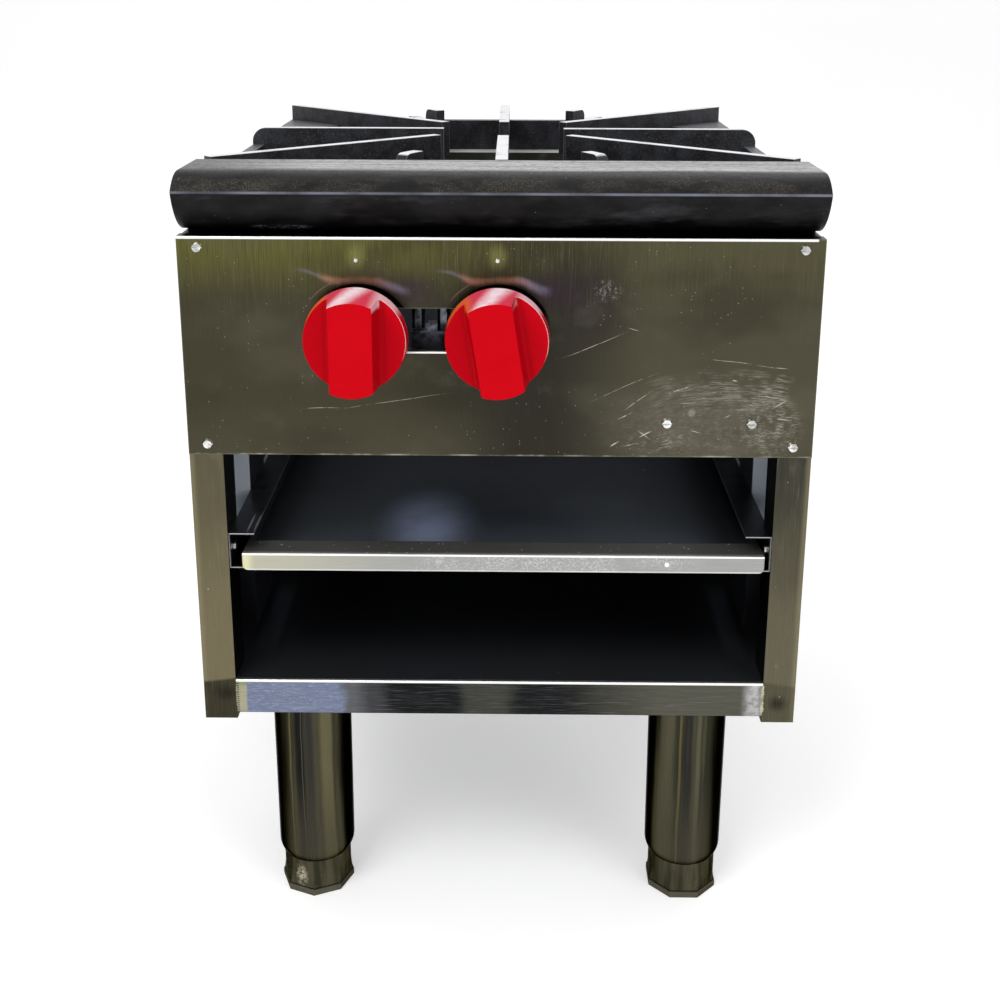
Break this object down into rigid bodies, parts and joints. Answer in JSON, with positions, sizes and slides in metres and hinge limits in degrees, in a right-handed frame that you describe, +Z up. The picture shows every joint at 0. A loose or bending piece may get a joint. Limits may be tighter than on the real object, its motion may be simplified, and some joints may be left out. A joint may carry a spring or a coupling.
{
  "type": "stock pot range",
  "caption": "Single stock pot range: stainless cabinet on tubular legs with screw feet, cast iron pot grate and front ledge, red knobs, ring burners, sliding crumb tray and open shelf.",
  "frame": {"origin": "on the floor, under the middle of the whole range's bounding box", "axes": "+Z up, +X to the right as seen from the front, +Y to the back; the control panel faces -Y"},
  "size_m": [0.4572, 0.582, 0.6206],
  "materials": {
    "cabinet_steel": "brushed and scratched stainless steel",
    "leg_steel": "polished stainless tube",
    "foot_metal": "satin",
    "guide_steel": "dull dark steel",
    "screw_steel": "bright zinc",
    "pipe_steel": "black pipe",
    "cast_iron": "rough casting, semi-gloss",
    "knob_red": "gloss",
    "brass": "dull machined brass",
    "tube_aluminium": "dull drawn tube"
  },
  "bodies": {
    "cabinet": {"front_left_post": "cabinet_steel", "front_right_post": "cabinet_steel", "back_left_post": "cabinet_steel", "back_right_post": "cabinet_steel", "left_side_panel": "cabinet_steel", "right_side_panel": "cabinet_steel", "left_side_brace": "cabinet_steel", "right_side_brace": "cabinet_steel", "back_panel": "cabinet_steel", "bottom_shelf": "cabinet_steel", "top_rail_front": "cabinet_steel", "top_rail_back": "cabinet_steel", "top_rail_left": "cabinet_steel", "top_rail_right": "cabinet_steel", "control_panel": "cabinet_steel", "left_tray_guide": "guide_steel", "right_tray_guide": "guide_steel", "manifold_bracket": "guide_steel", "burner_support_front": "guide_steel", "burner_support_back": "guide_steel", "leg_plates": "guide_steel", "leg_inserts": "guide_steel", "panel_screws": "screw_steel", "index_rivets": "screw_steel", "guide_screws": "screw_steel", "ledge_bolts": "screw_steel", "pilot_tips": "screw_steel", "outer_burner": "cast_iron", "inner_burner": "cast_iron", "front_ledge": "cast_iron", "left_valve_body": "brass", "right_valve_body": "brass", "left_orifice": "brass", "right_orifice": "brass", "pilot_valve": "brass", "manifold_pipe": "pipe_steel", "manifold_cap": "pipe_steel", "supply_elbow": "pipe_steel", "supply_pipe": "pipe_steel", "pilot_tubes": "tube_aluminium", "front_left_leg": "leg_steel", "front_right_leg": "leg_steel", "back_left_leg": "leg_steel", "back_right_leg": "leg_steel"},
    "left_knob": {"left_knob": "knob_red", "left_valve_stem": "screw_steel"},
    "right_knob": {"right_knob": "knob_red", "right_valve_stem": "screw_steel"},
    "crumb_tray": {"crumb_tray": "cabinet_steel"},
    "top_grate": {"grate_frame": "cast_iron", "grate_ribs": "cast_iron"},
    "left_air_shutter": {"left_air_shutter": "guide_steel"},
    "right_air_shutter": {"right_air_shutter": "guide_steel"},
    "front_left_foot": {"front_left_foot": "foot_metal"},
    "front_right_foot": {"front_right_foot": "foot_metal"},
    "back_left_foot": {"back_left_foot": "foot_metal"},
    "back_right_foot": {"back_right_foot": "foot_metal"}
  },
  "joints": [
    {"name": "left_knob_turn", "type": "hinge", "parent": "cabinet", "child": "left_knob", "pos_m": [-0.102, -0.256, 0.5053], "axis": [0, -1, 0], "range_deg": [0, 90]},
    {"name": "right_knob_turn", "type": "hinge", "parent": "cabinet", "child": "right_knob", "pos_m": [-0.002, -0.256, 0.5053], "axis": [0, -1, 0], "range_deg": [-9, 81]},
    {"name": "crumb_tray_slide", "type": "slide", "parent": "cabinet", "child": "crumb_tray", "axis": [0, -1, 0], "range_m": [0, 0.42]},
    {"name": "grate_lift", "type": "slide", "parent": "cabinet", "child": "top_grate", "axis": [0, 0, 1], "range_m": [0, 0.08]},
    {"name": "left_air_shutter_turn", "type": "hinge", "parent": "cabinet", "child": "left_air_shutter", "pos_m": [-0.102, -0.152, 0.5053], "axis": [0, 1, 0], "range_deg": [0, 60]},
    {"name": "right_air_shutter_turn", "type": "hinge", "parent": "cabinet", "child": "right_air_shutter", "pos_m": [-0.002, -0.152, 0.5053], "axis": [0, 1, 0], "range_deg": [0, 60]},
    {"name": "front_left_foot_adjust", "type": "slide", "parent": "cabinet", "child": "front_left_foot", "axis": [0, 0, -1], "range_m": [0, 0.025]},
    {"name": "front_right_foot_adjust", "type": "slide", "parent": "cabinet", "child": "front_right_foot", "axis": [0, 0, -1], "range_m": [0, 0.025]},
    {"name": "back_left_foot_adjust", "type": "slide", "parent": "cabinet", "child": "back_left_foot", "axis": [0, 0, -1], "range_m": [0, 0.025]},
    {"name": "back_right_foot_adjust", "type": "slide", "parent": "cabinet", "child": "back_right_foot", "axis": [0, 0, -1], "range_m": [0, 0.025]}
  ]
}
